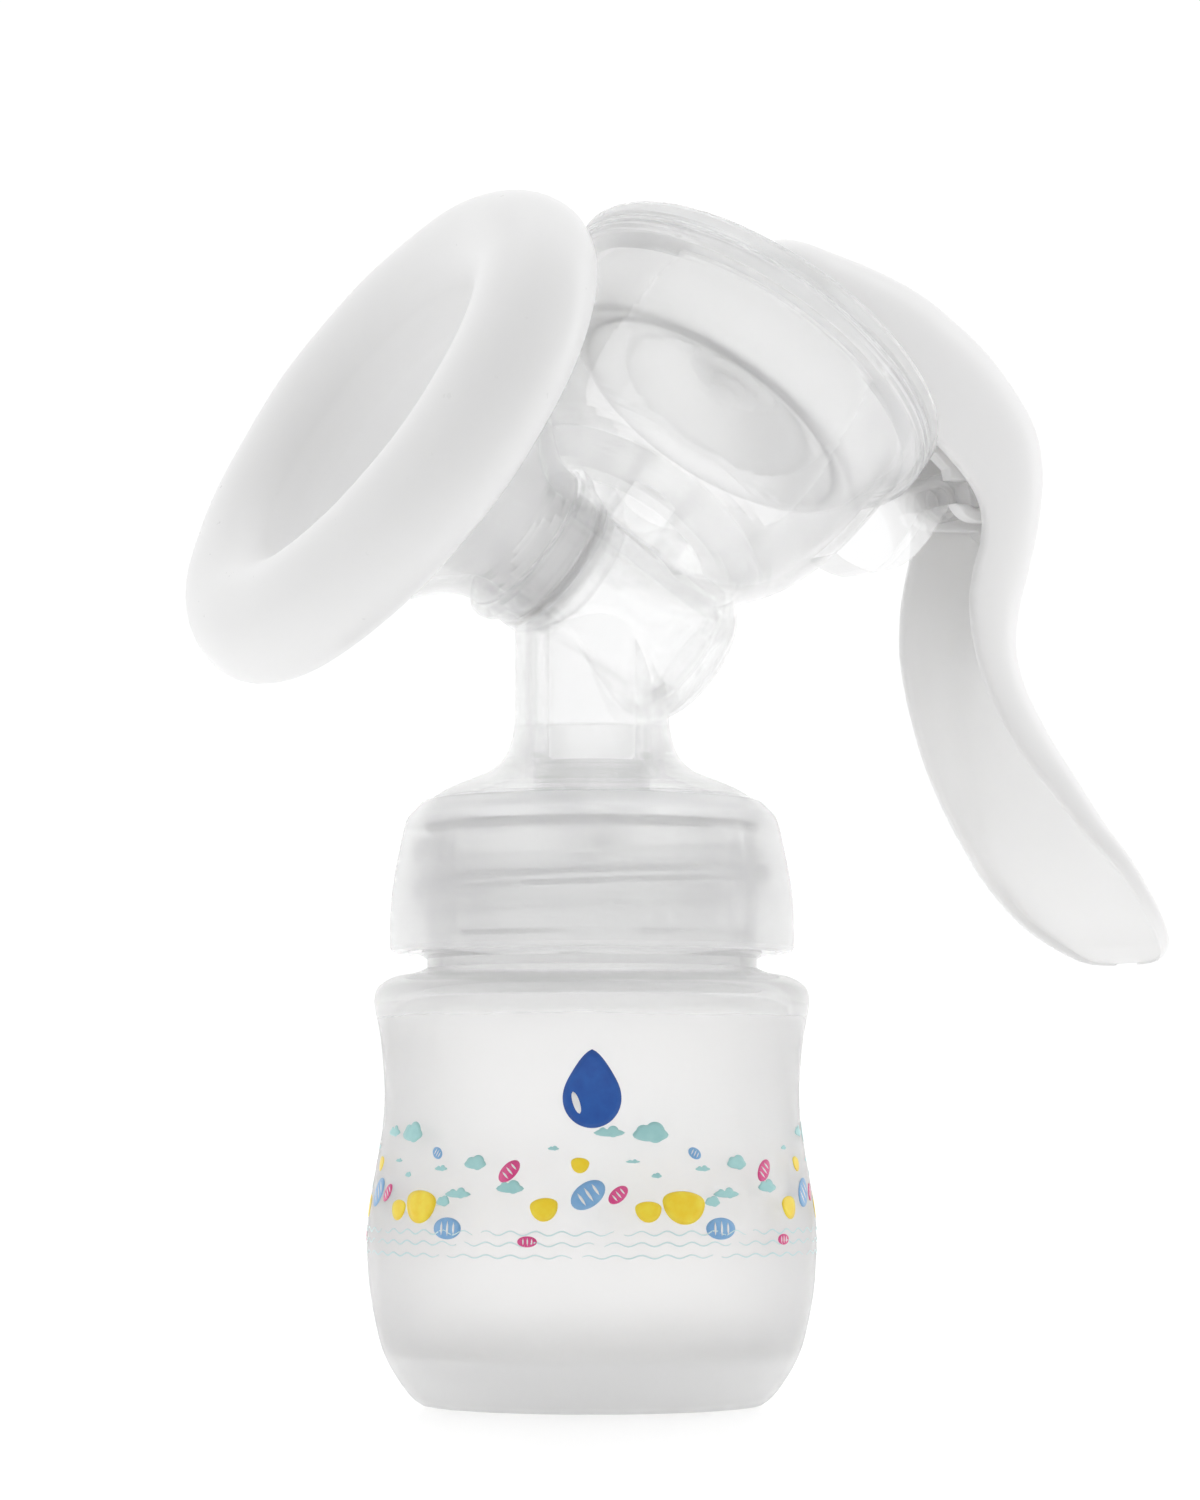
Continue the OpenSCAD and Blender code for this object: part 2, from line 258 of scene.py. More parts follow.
def white_plastic():
    """Satin white polypropylene: faint flow marks, a fine spark-eroded grain."""
    s = Surface("white_plastic", IOR=1.49, Subsurface_Weight=0.3)
    s.glow(0.004, 0.004, 0.0038)
    flow = s.noise(24, 3, (1, 1, 0.4))
    s.link(s.ramp(flow, [(0.3, grey(0.885, 0.003)), (0.7, grey(0.905, 0.003))]), "Base Color")
    s.link(s.spread(s.noise(140, 4), 0.26, 0.36), "Roughness")
    s.bump(s.noise(5200, 2), 0.05, 0.00005)
    return s.material


def silicone(name, value, clearness, roughness=0.36, cover=1.0):
    """Soft translucent silicone with a dusty satin skin and slow wall-thickness changes."""
    s = Surface(name, IOR=1.41, Transmission_Weight=clearness, Subsurface_Weight=0.9, Alpha=cover)
    s.glow(0.014, 0.014, 0.0134)
    thin, thick = grey(value - 0.012, 0.001), grey(value + 0.008, 0.001)
    s.link(s.ramp(s.noise(30, 3), [(0.3, thin), (0.7, thick)]), "Base Color")
    s.link(s.spread(s.noise(420, 4), roughness - 0.05, roughness + 0.07), "Roughness")
    s.bump(s.noise(2600, 3), 0.08, 0.00006)
    return s.material


def cushion_silicone():
    """The cushion: its base colour is painted lighter on the thin funnel than on the thick rim, as
    painted light for the light that the thin funnel lets through.
    """
    s = Surface("cushion_silicone", IOR=1.41, Subsurface_Weight=0.35)
    s.glow(0.01, 0.01, 0.0096)
    horn_axis = (-math.cos(HORN_TILT), 0, math.sin(HORN_TILT))
    from_junction = s.node("VectorMath", {0: s.place, 1: (0, 0, JUNCTION_Z * MM)},
                           operation="SUBTRACT").outputs[0]
    off_axis = s.node("VectorMath", {0: from_junction, 1: horn_axis},
                      operation="CROSS_PRODUCT").outputs[0]
    radius = s.node("VectorMath", {0: off_axis}, operation="LENGTH").outputs["Value"]
    outwards = s.node("MapRange", {"Value": radius, "From Min": FUNNEL_EDGE_R * MM,
                                   "From Max": RIM_START_R * MM}).outputs[0]
    drift = s.spread(s.noise(30, 3), -0.04, 0.04)
    # Painted light: the base colour is lighter towards the funnel, for light coming through the
    # thin silicone.
    s.link(s.ramp(s.combine("ADD", outwards, drift),
                  [(0.0, grey(0.96, 0.001)), (1.0, grey(0.84, 0.001))]), "Base Color")
    s.link(s.spread(s.noise(420, 4), 0.24, 0.36), "Roughness")
    s.bump(s.noise(2600, 3), 0.08, 0.00006)
    return s.material


def clear_plastic(name, value, haze, clearness, cover, dome=False):
    """Clear polypropylene: glossy skin, and a haze that goes from its first value to its second
    up the neck. With dome, the part below the neck has its own clearness and cover.
    """
    s = Surface(name, IOR=1.4, Transmission_Weight=clearness, Alpha=cover)
    s.link(s.ramp(s.noise(18, 2), [(0.3, (value - 0.006, value - 0.002, value - 0.002)),
                                   (0.7, (value, value, value + 0.003))]), "Base Color")
    if dome:
        upwards = s.height(*DOME_TOP_Z)
        s.link(s.spread(upwards, 0.93, clearness), "Transmission Weight")
        s.link(s.spread(upwards, 0.48, cover), "Alpha")
    drift = s.spread(s.noise(60, 3), -0.015, 0.02)
    s.link(s.combine("ADD", s.spread(s.height(*NECK_Z), *haze), drift), "Roughness")
    s.bump(s.noise(90, 2, (1, 1, 0.3)), 0.12, 0.0002)
    return s.material


def frosted_plastic():
    """The ring's frosted polypropylene, with a fine matt grain."""
    s = Surface("frosted_plastic", IOR=1.3, Transmission_Weight=0.94, Alpha=0.38)
    s.link(s.ramp(s.noise(22, 3), [(0.3, (0.99, 0.991, 0.992)), (0.7, (0.997, 0.997, 0.998))]),
           "Base Color")
    s.link(s.spread(s.noise(160, 4), 0.26, 0.34), "Roughness")
    s.bump(s.noise(3200, 2), 0.06, 0.00005)
    return s.material


def milky_plastic():
    """The bottle, with painted light and shade by height: warm white over the hollow, greyer in the
    thick base and the shoulder.
    """
    s = Surface("milky_plastic", IOR=1.35, Alpha=0.9, Coat_Weight=0.3, Coat_Roughness=0.2)
    top = 90

    def by_height(stops):
        """A ramp up the bottle, from (height, value) stops."""
        return s.ramp(s.height(0, top), [(z / top, colour) for z, colour in stops])

    base, inside, shoulder = grey(0.92), grey(0.992, 0.003), grey(0.985)
    s.link(by_height([(0, grey(0.35)), (7.0, grey(0.35)), (8.6, grey(0.86)), (57, grey(0.86)),
                      (62, grey(0.7)), (top, grey(0.88))]), "Transmission Weight")
    # Painted light over the hollow, for light through the thin wall, and painted shade in the thick
    # base and the shoulder.
    s.link(by_height([(0, base), (7.0, base), (8.6, inside), (57, inside), (62, shoulder),
                      (top, shoulder)]), "Base Color")
    sheen = by_height([(0, grey(0.42)), (6.5, grey(0.42)), (10, grey(0.46)), (54, grey(0.46)),
                       (60, grey(0.22)), (top, grey(0.22))])
    s.link(s.combine("MULTIPLY", sheen, s.spread(s.noise(130, 4), 0.9, 1.1)), "Roughness")
    s.bump(s.noise(60, 3, (1, 1, 0.5)), 0.15, 0.0002)
    return s.material


def ink(name, colour, second):
    """Pad-printed ink: a thin glossy film with a slightly uneven coat."""
    s = Surface(name, IOR=1.5)
    s.link(s.ramp(s.noise(520, 4), [(0.35, colour), (0.7, second)]), "Base Color")
    s.link(s.spread(s.noise(900, 3), 0.28, 0.4), "Roughness")
    s.bump(s.noise(4000, 2), 0.1, 0.00002)
    return s.material


WHITE = white_plastic()
CUSHION = cushion_silicone()
SEAL = silicone("seal_silicone", 0.97, clearness=0.6)
VALVE = silicone("valve_silicone", 0.99, clearness=0.85, roughness=0.3, cover=0.35)
MEMBRANE = silicone("membrane_silicone", 0.985, clearness=0.0)
CLEAR = clear_plastic("clear_plastic", 0.997, (0.24, 0.12), clearness=0.84, cover=0.52, dome=True)
HORN_CLEAR = clear_plastic("horn_clear_plastic", 0.994, (0.12, 0.12), clearness=0.82, cover=0.55)
RIM = clear_plastic("rim_plastic", 0.97, (0.2, 0.2), clearness=0.6, cover=0.85)
THREAD = clear_plastic("thread_plastic", 0.995, (0.1, 0.1), clearness=0.9, cover=0.6)
FROSTED = frosted_plastic()
MILKY = milky_plastic()


# ---- bottle ----

WALL = [(26, 0), (27.4, 1), (29.1, 3.1), (31, 6.2), (32.2, 9.2), (33.3, 13.9), (34, 18.5),
        (34.3, 23.9), (34.1, 28.6), (33.3, 33.9), (32.5, 38.5), (31.9, 42.6), (31.7, 47),
        (31.9, 51), (32.35, 55.6), (33, 59), (33.3, 61.4), (32.6, 63.4), (30.3, 64.8), (27.2, 65.4),
        (25.25, 66.2)]
HOLLOW = [(23.2, 66.5), (25.5, 63.6), (30, 62.2), (31.1, 60.2), (30.5, 55.6),
          (29.9, 47), (30.6, 38.5), (32.1, 28.6), (32.4, 23.9), (31.9, 17), (30.2, 11.5), (27, 7),
          (22, 4.2), (15, 3.1), (0, 3)]
MOUTH_Z = 87
THREAD_PITCH = 6.0
THREAD_START_Z = 72.2
WALL_LINE = smooth(WALL, 12)


def wall_radius(z):
    """The bottle's outer radius at a height."""
    for (r0, z0), (r1, z1) in zip(WALL_LINE, WALL_LINE[1:]):
        if z0 <= z <= z1:
            return r0 + (r1 - r0) * (z - z0) / max(1e-9, z1 - z0)
    raise ValueError(z)


def bottle():
    foot = [(0, 0.9), (12, 0.8), (22, 0.7), (23.4, 0.2), (24.4, 0)]
    lip = [(25.25, MOUTH_Z - 0.8)] + arc((24.55, MOUTH_Z - 0.7), 0.7, 0, 90, 5) \
        + arc((23.9, MOUTH_Z - 0.7), 0.7, 90, 180, 5)
    collar = [(25.25, 67.6), (25.9, 68), (26.1, 68.6), (25.9, 69.2), (25.25, 69.6)]
    shell = lathe("bottle_shell", foot + smooth(WALL) + collar + lip + smooth(HOLLOW), steps=216)
    settle(shell, "bottle", "milky_plastic", MILKY, "bottle")
    ridge = [(25.2, -1.5), (26.1, -0.95), (26.75, -0.35), (26.75, 0.3), (26.1, 0.8), (25.2, 1.2),
             (25.0, 0)]
    thread = helix("bottle_thread", ridge, THREAD_START_Z, 2.05)
    settle(thread, "bottle", "milky_plastic", THREAD)


# ---- the printed band ----

FRONT_DEGREES = -118.0   # the side of the bottle that carries the drop emblem
SECTORS = 5              # the band's motifs repeat this many times round the bottle
FIRST_SECTOR = -37.5     # degrees from the front to where the first sector starts
INK_PROUD = 0.05         # how far the ink stands off the wall
SECOND_INK = 0.09        # the same for ink on top of ink
INK_FILM = 0.04
WAVES = [(26.6, 0.34), (25.0, 0.3), (23.2, 0.26)]   # height and swing of each line of waves
WAVE_DEGREES = 6.5       # length of one wave


def on_wall(degrees, z, proud=INK_PROUD):
    """A point just off the bottle's wall, in degrees from the front."""
    a = math.radians(FRONT_DEGREES + degrees)
    r = wall_radius(z) + proud
    return (r * math.cos(a), r * math.sin(a), z)


def flat_to_wall(x, z):
    """Degrees round the bottle for a length x along its wall."""
    return math.degrees(x / wall_radius(z))


def oval(width, height):
    """An oval, as how far it reaches at each angle. The other motifs are given the same way."""
    return lambda a: 1 / math.hypot(math.cos(a) / (width / 2), math.sin(a) / (height / 2))


def cloud(width, height):
    """A rounded cloud: a low oval with two puffs on top of it."""
    def reach(a):
        best = oval(width, height * 0.62)(a)
        for side, size in ((-0.2, 0.36), (0.12, 0.5)):
            cx, cz, r = side * width, height * 0.12, size * height
            along = cx * math.cos(a) + cz * math.sin(a)
            gap = r * r - (cx * cx + cz * cz) + along * along
            if gap > 0:
                best = max(best, along + math.sqrt(gap))
        return best
    return reach


def drop(width, height):
    """A drop with its point up and a round belly below."""
    def reach(a):
        t = (math.degrees(a) - 90) % 360
        t = min(t, 360 - t)
        tip = math.exp(-(t / 26) ** 1.35)
        return (width / 2) * (1 + (height / width * 1.16 - 1) * tip)
    return reach


def tub(width, height):
    """A small bowl shape: deep below, nearly flat on top."""
    return lambda a: oval(width, height * (0.55 if math.sin(a) > 0 else 1.25))(a)


def decal(points, faces, degrees, z, reach, turn=0.0, proud=INK_PROUD, rings=3, steps=40):
    """Adds one flat printed shape, as rings of points round its centre laid on the wall."""
    offset = len(points)
    points.append(on_wall(degrees, z, proud))
    for ring in range(1, rings + 1):
        for i in range(steps):
            a = 2 * math.pi * i / steps
            size = reach(a) * ring / rings
            x = size * math.cos(a + turn)
            up = size * math.sin(a + turn)
            points.append(on_wall(degrees + flat_to_wall(x, z + up), z + up, proud))
    for i in range(steps):
        faces.append((offset, offset + 1 + i, offset + 1 + (i + 1) % steps))
    faces.extend(grid_faces(rings, steps, offset=offset + 1))


def wave_line(points, faces, z0, swing, start, end, width=0.22, step=0.8):
    """Adds one printed wave line, thinner towards its ends."""
    count = int((end - start) / step)
    offset = len(points)
    for i in range(count + 1):
        d = start + (end - start) * i / count
        z = z0 + swing * math.sin(math.radians(d * 360 / WAVE_DEGREES))
        thin = width * (0.35 + 0.65 * math.sin(math.pi * i / count) ** 0.4)
        points.append(on_wall(d, z - thin / 2))
        points.append(on_wall(d, z + thin / 2))
    faces.extend((offset + 2 * i, offset + 2 * i + 1, offset + 2 * i + 3, offset + 2 * i + 2)
                 for i in range(count))


def printed(name, build, material):
    """A piece of ink: what build adds to its points and faces, as a thin film on the bottle."""
    points, faces = [], []
    build(points, faces)
    piece = mesh_object(name, points, faces, sharp_degrees=180)
    film = piece.modifiers.new("film", "SOLIDIFY")
    film.thickness = INK_FILM * MM
    film.offset = 0
    settle(piece, "bottle", "milky_plastic", material)


# Motifs of one sector: degrees from its start, height on the bottle, then the shape's width,
# height and tilt in degrees.
CLOUDS = [(6, 36.6, 3.8, 2.2, 0), (16.5, 33.1, 4.4, 2.0, 0), (1.5, 32.2, 4.8, 1.6, 0),
          (27.5, 38.9, 1.7, 0.7, 0), (42, 41.2, 4.6, 1.7, 0), (53, 40.9, 5.5, 3.1, 0),
          (48, 37, 2.2, 0.6, 0), (54, 34.9, 1.6, 0.8, 0), (67, 35.9, 2.6, 0.9, 0),
          (69, 31, 2.6, 1.6, 0)]
TUBS = [(25.5, 30.7, 4.2, 3.8, 6), (34.5, 36.9, 2.7, 2.5, -6), (51.5, 30.3, 4.0, 3.4, 0),
        (61, 31.2, 6.8, 5.4, -4)]
BLUE_PEBBLES = [(36.5, 32.2, 5.6, 3.6, 35), (71, 27.2, 5.2, 3.2, 0), (65, 38.2, 2.2, 1.6, -30)]
PINK_PEBBLES = [(16, 35.6, 4.0, 2.3, 45), (44, 32.2, 3.4, 2.0, 40), (21.5, 25.4, 3.0, 1.6, 0)]


def all_round(motifs):
    """Every motif in every sector, with its place in degrees from the front and its tilt."""
    for sector in range(SECTORS):
        start = FIRST_SECTOR + sector * 360 / SECTORS
        for degrees, z, width, height, tilt in motifs:
            yield start + degrees, z, width, height, math.radians(tilt)


def band_of(motifs, shape):
    def build(points, faces):
        for degrees, z, width, height, tilt in all_round(motifs):
            decal(points, faces, degrees, z, shape(width, height), tilt)
    return build


def stripes_on(motifs):
    """Three pale stripes across each pebble, on top of its ink."""
    def build(points, faces):
        for degrees, z, width, height, tilt in all_round(motifs):
            for side, tall in ((-0.2, 0.62), (0.02, 0.7), (0.24, 0.56)):
                x, up = side * width * math.cos(tilt), side * width * math.sin(tilt)
                decal(points, faces, degrees + flat_to_wall(x, z), z + up,
                      oval(width * 0.07, height * tall), tilt, SECOND_INK, rings=1, steps=16)
    return build


def print_band():
    teal = ink("ink_teal", (0.36, 0.66, 0.66), (0.42, 0.72, 0.71))
    pale = ink("ink_pale_teal", (0.66, 0.83, 0.84), (0.72, 0.87, 0.87))
    yellow = ink("ink_yellow", (0.96, 0.68, 0.02), (0.98, 0.78, 0.05))
    blue = ink("ink_blue", (0.2, 0.42, 0.72), (0.27, 0.5, 0.77))
    pink = ink("ink_pink", (0.72, 0.05, 0.24), (0.8, 0.12, 0.32))
    white = ink("ink_white", (0.86, 0.86, 0.86), (0.9, 0.9, 0.9))
    deep = ink("ink_deep_blue", (0.004, 0.075, 0.36), (0.008, 0.1, 0.42))

    def waves(points, faces):
        """Each line runs round in lengths of half a sector, with a small gap after each."""
        for z0, swing in WAVES:
            for sector in range(SECTORS * 2):
                start = sector * 180 / SECTORS + z0 * 3
                wave_line(points, faces, z0, swing, start, start + 180 / SECTORS - 2.5)

    def emblem(points, faces):
        decal(points, faces, 0, 46.2, drop(8.6, 12.4), rings=6, steps=72)

    def glint(points, faces):
        decal(points, faces, flat_to_wall(-2.3, 46), 45.6, oval(1.0, 3.4), math.radians(18),
              proud=0.1, rings=2, steps=32)

    printed("print_waves", waves, pale)
    printed("print_clouds", band_of(CLOUDS, cloud), teal)
    printed("print_tubs", band_of(TUBS, tub), yellow)
    printed("print_blue_pebbles", band_of(BLUE_PEBBLES, oval), blue)
    printed("print_pink_pebbles", band_of(PINK_PEBBLES, oval), pink)
    printed("print_pebble_stripes", stripes_on(BLUE_PEBBLES + PINK_PEBBLES), white)
    printed("print_drop", emblem, deep)
    printed("print_drop_glint", glint, white)


# ---- screw ring ----

def ring():
    """The CAD ring keeps its shape; its thread is added here, between the bottle's turns."""
    finish_with(NODES["screw_ring"], FROSTED)
    ridge = [(27.3, -1.3), (26.4, -0.8), (25.75, -0.3), (25.75, 0.3), (26.4, 0.8), (27.3, 1.3),
             (27.5, 0)]
    thread = helix("ring_thread", ridge, THREAD_START_Z + THREAD_PITCH / 2, 1.55)
    settle(thread, "screw_ring", "frosted_plastic", THREAD)


# ---- massage cushion ----

# The round rim, with s measured along the horn's axis from the junction.
RIM_RING_R, RIM_S = 34.1, 40.35    # where the middle of its section lies
RIM_R, RIM_BACK = 9.7, 7.5         # its reach forwards and sideways, and its reach backwards


def cushion():
    back = [(31.9, 38.6), (27.8, 35.5), (22.9, 31.6), (18.4, 27.7), (14.6, 24), (11.6, 20.6),
            (9.45, 17.5), (8.45, 14.4)]
    front = [(6.9, 14.6), (7.4, 17.8), (9.2, 21.4), (12.4, 25.4), (16.6, 29.7), (20.6, 33.4),
             (23.0, 36.6), (23.9, 38.5)]
    rim = arc((RIM_RING_R, RIM_S), RIM_R, 174, 0, 48)
    under = [(RIM_RING_R + RIM_R * math.cos(a), RIM_S + RIM_BACK * math.sin(a))
             for a in (math.radians(d) for d in range(-4, -75, -4))]
    outline = [(35.5, 33.6), (35.5, 38), (34.9, 39.2), (33.8, 39.4)] + smooth(back) + [
        (8.45, 5), (8.1, 4.6), (7.2, 4.6), (6.9, 5)] + smooth(front) + rim + under + [
        (36.4, 33.1), (35.9, 33.2)]

    def soften(r, s, a):
        """The soft rim sags a little and its face is not perfectly even."""
        loose = max(0.0, min(1.0, (r - 20) / 16))
        wave = 0.16 * math.sin(2 * a + 0.6) + 0.09 * math.sin(5 * a + 1.9) + 0.05 * math.sin(11 * a)
        return r + loose * wave * 0.6, s + loose * wave

    piece = lathe("massage_cushion_soft", outline, HORN, 288, soften, 55)
    settle(piece, "cushion", "silicone", CUSHION, "massage_cushion")


# ---- diaphragm, stem and small seals ----

FOLD_TOP, FOLD_BOTTOM = (22.4, 36.6), (22.4, 35.0)   # the two skins at the bottom of the fold


def diaphragm():
    """Two pieces that meet at the bottom of the fold: the outer one goes on the pump head; the
    inner one, which rises in the pump, is not put on a body here.
    """
    bead = [(31.2, 45.7), (31.2, 48.4), (30.9, 48.7), (29.3, 48.7), (29, 48.4), (28.9, 48)]
    outer_top = [(28.3, 47.9), (26.9, 47.2), (26.3, 45), (25.4, 40.4), (24, 37.6), FOLD_TOP]
    outer_under = [FOLD_BOTTOM, (25.3, 36.7), (26.9, 40.2), (27.7, 44)]
    outer = bead + smooth(outer_top) + smooth(outer_under) + [(28, 45.7)]
    inner_top = [FOLD_TOP, (21.4, 36.6), (19.4, 37.4), (16.6, 40.4), (12.8, 44.2), (9, 46.4),
                 (6.6, 47)]
    hub = [(3.6, 47), (3.6, 43.8), (6, 43.8)]
    inner_under = [(6.4, 44.6), (8.4, 44.4), (11.6, 42.7), (15.4, 39.2), (18.4, 36.1), (21.4, 35),
                   FOLD_BOTTOM]
    inner = smooth(inner_top) + hub + smooth(inner_under)
    fixed = lathe("diaphragm_edge", outer, CUP)
    settle(fixed, "pump_head", "silicone", MEMBRANE, "diaphragm")
    moving = lathe("diaphragm_centre", inner, CUP)
    finish_with(moving, MEMBRANE)
    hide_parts("diaphragm")
    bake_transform(moving)


def carried_over():
    """CAD nodes whose shape is right; they only get their finish."""
    finishes = {"pump_body": CLEAR, "cup_ring": RIM, "horn_shell": HORN_CLEAR,
                "duckbill_valve": VALVE, "bottle_gasket": SEAL, "socket_o_ring": SEAL,
                "diaphragm_stem": WHITE, "stem_retainer": WHITE}
    for name, material in finishes.items():
        finish_with(NODES[name], material)


# ---- lever ----

# Each station of the lever: rim x, rim z, back x, back z, half width.
STATIONS = [
    (25, 176.2, 26.1, 179.4, 7), (26.4, 174.6, 29.6, 181.4, 9.8),
    (29, 172.4, 34.1, 181.9, 11.4), (34, 168.6, 40.9, 180.5, 12.2),
    (40, 163.6, 49.3, 178.4, 12.6), (46, 158.5, 57.4, 175.4, 12.7),
    (51, 153.8, 64.2, 171.3, 12.7), (55.8, 149.6, 71.3, 165.7, 12.6),
    (61, 144.9, 78.5, 156.7, 12.4), (63.8, 141.2, 80.6, 148.7, 12.1),
    (64.7, 137.6, 80, 141.4, 11.8), (64.4, 134, 79, 136, 11.5), (63.3, 130, 77.7, 131, 11.3),
    (62.5, 124.9, 75.8, 124.9, 11.4), (62.8, 118.5, 74.6, 118.1, 12.1),
    (64.5, 111.5, 75.7, 112.3, 12.9), (67.4, 104.6, 77.9, 107.2, 14.3),
    (70.3, 99.5, 79.7, 103.3, 15.7), (74.4, 93.8, 82.3, 98.2, 17.5),
    (79.4, 87.5, 85.6, 91.7, 19.1), (84.5, 81.9, 89.2, 85.6, 20.6), (90.1, 75.7, 94, 79, 19.4),
    (94.1, 72, 97.3, 74.9, 16.8), (96.8, 69.8, 99, 71.9, 14), (98.2, 68.7, 99.4, 70.2, 10.8),
    (98.8, 68.3, 99.7, 69.4, 7.4), (99.05, 68.15, 99.8, 69, 3.6)]
LEVER_WALL = 2.0
LEVER_HALF_POINTS = 26    # points on each half of the outer skin, and as many on the inner one
RIM_POINTS = 5            # points round each of the channel's two rims
SADDLE_R, SADDLE_BORE = 4.6, 2.48    # the snap saddles on the pivot bar
SNAP_HALF = 1.9           # half of the saddles' open side
HOOK_R = 2.7              # inner radius of the hooks round the stem's bar
RIB_THICK, RIB_Y = 2.8, 6.3


def lever_section(station):
    """One closed section of the channel: outer skin, rounded rim, inner skin, rounded rim."""
    rim, back = Vector((station[0], station[1])), Vector((station[2], station[3]))
    half = station[4]
    deep = (back - rim).length
    inward = (back - rim).normalized()
    wall = min(LEVER_WALL, deep * 0.6, half * 0.5)
    lip = wall * 0.5

    def point(y, depth):
        at = rim + inward * depth
        return (at.x, y, at.y)

    def skin(width, depth, i):
        u = math.sin(math.pi / 2 * i / LEVER_HALF_POINTS)
        k = max(0.0, 1 - abs(u) ** 2.5) ** 0.4
        return point(u * width, lip + (depth - lip) * k)

    def rounded_rim(side):
        turns = [math.pi * k / (RIM_POINTS + 1) for k in range(1, RIM_POINTS + 1)]
        points = [point(side * (half - lip + lip * math.cos(a)), lip - lip * math.sin(a))
                  for a in turns]
        return points if side > 0 else points[::-1]

    n = LEVER_HALF_POINTS
    return [skin(half, deep, i) for i in range(-n, n + 1)] + rounded_rim(1) + [
        skin(half - wall, deep - wall, i) for i in range(n, -n - 1, -1)] + rounded_rim(-1)


def lever_shell():
    """The open channel from the hood over the cup to the spoon end."""
    sections = [lever_section(s) for s in smooth(STATIONS, 5)]
    m = len(sections[0])
    faces = grid_faces(len(sections), m)
    # Each end closes with a strip from the outer to the inner skin, and one face at each rim.
    skin = 2 * LEVER_HALF_POINTS + 1
    for base in (0, (len(sections) - 1) * m):
        inner_end = base + skin + RIM_POINTS + skin - 1
        for j in range(skin - 1):
            faces.append((base + j, base + j + 1, inner_end - 1 - j, inner_end - j))
        faces.append(tuple(base + k for k in range(skin - 1, skin + RIM_POINTS + 1)))
        faces.append(tuple(base + k % m for k in range(m - RIM_POINTS - 1, m + 1)))
    points = [p for s in sections for p in s]
    return mesh_object("lever_shell", points, faces, sharp_degrees=60)


def plate(name, outline, thickness, y, bevel=0.35):
    """A flat plate in the XZ plane with rounded edges."""
    curve = bpy.data.curves.new(name, "CURVE")
    curve.dimensions = "2D"
    curve.fill_mode = "BOTH"
    line = curve.splines.new("POLY")
    line.points.add(len(outline) - 1)
    for p, (x, z) in zip(line.points, outline):
        p.co = (x * MM, z * MM, 0, 1)
    line.use_cyclic_u = True
    curve.extrude = (thickness / 2 - bevel) * MM
    curve.bevel_depth = bevel * MM
    curve.bevel_resolution = 3
    curve.offset = -bevel * MM
    maker = link_new(name, curve)
    bpy.context.view_layer.update()
    solved = maker.evaluated_get(bpy.context.evaluated_depsgraph_get())
    mesh = bpy.data.meshes.new_from_object(solved)
    bpy.data.objects.remove(maker)
    mesh.transform(Matrix.Translation((0, y * MM, 0)) @ Matrix.Rotation(math.pi / 2, 4, "X"))
    return closed_piece(name, mesh, 35)


def lever_ribs():
    """The two ribs under the hood, with the snap saddles and the hooks for the stem's bar."""
    bar = CUP @ Vector((0, 0, CROSS_BAR_S))
    away = Vector((bar.x - PIVOT[0], bar.z - PIVOT[1])).normalized()
    across = Vector((-away.y, away.x))

    def in_wall(station):
        """A point of the outline inside the lever's back wall, so that the rib joins it."""
        rim_x, rim_z, back_x, back_z, _ = station
        return (rim_x + 0.8 * (back_x - rim_x), rim_z + 0.8 * (back_z - rim_z))

    mouth = math.degrees(math.asin(SNAP_HALF / SADDLE_R))
    throat = math.degrees(math.asin(SNAP_HALF / SADDLE_BORE))
    saddle = arc(PIVOT, SADDLE_R, -100, mouth - 180, 6) \
        + arc(PIVOT, SADDLE_BORE, throat - 180, 180 - throat, 24)
    hook_centre = Vector((bar.x, bar.z))
    low = hook_centre + away * 3.6 + across * HOOK_R
    high = hook_centre + away * 3.2 - across * HOOK_R
    turn = math.degrees(math.atan2(across.y, across.x))
    hook = arc((bar.x, bar.z), HOOK_R, turn, turn - 180, 14)
    outline = [in_wall(s) for s in STATIONS[2:12]] + [(74, 138.6), (66, 138.4)] + saddle \
        + [(60.9, 144.9), (60.5, 146.6), (56.2, 150.2), (31, 169), tuple(low)] + hook \
        + [tuple(high)]
    return [plate(f"lever_rib_{side}", outline, RIB_THICK, y)
            for side, y in (("left", RIB_Y), ("right", -RIB_Y))]


def lever():
    shell = lever_shell()
    settle(shell, "lever", "white_plastic", WHITE, "handle")
    for rib in lever_ribs():
        settle(rib, "lever", "white_plastic", WHITE)


bottle()
print_band()
ring()
cushion()
diaphragm()
carried_over()
lever()


# ---- floor, light and camera ----

WHITE_AROUND = (1.06, 1.06, 1.06, 1)     # the studio's white as it lights the object
BACKDROP = (1.05, 1.05, 1.05, 1)         # what the camera sees behind the object
CAMERA_SIDE = (0.24, 0.24, 0.242, 1)     # the dim side of the studio
TOWARDS_CAMERA = (-0.46, -0.87, 0.05)
GLOSS_WHITENESS = 0.9                    # how far reflections see plain white instead

LENS_MM, SENSOR_MM = 109.67, 36
EYE = (-0.32975, -0.61916, 0.04435)
EYE_UP_DEGREES, EYE_TURN_DEGREES = 4.52, -28.14


def floor():
    half, z = 4.0, -0.0002
    mesh = bpy.data.meshes.new("floor")
    mesh.from_pydata([(-half, -half, z), (half, -half, z), (half, half, z), (-half, half, z)], [],
                     [(0, 1, 2, 3)])
    plane = link_new("floor", mesh)
    s = Surface("floor_paper", Roughness=0.12, Base_Color=(0.82, 0.82, 0.82, 1),
                Specular_IOR_Level=0.35, Emission_Color=(1, 1, 1, 1), Emission_Strength=0.29)
    mesh.materials.append(s.material)


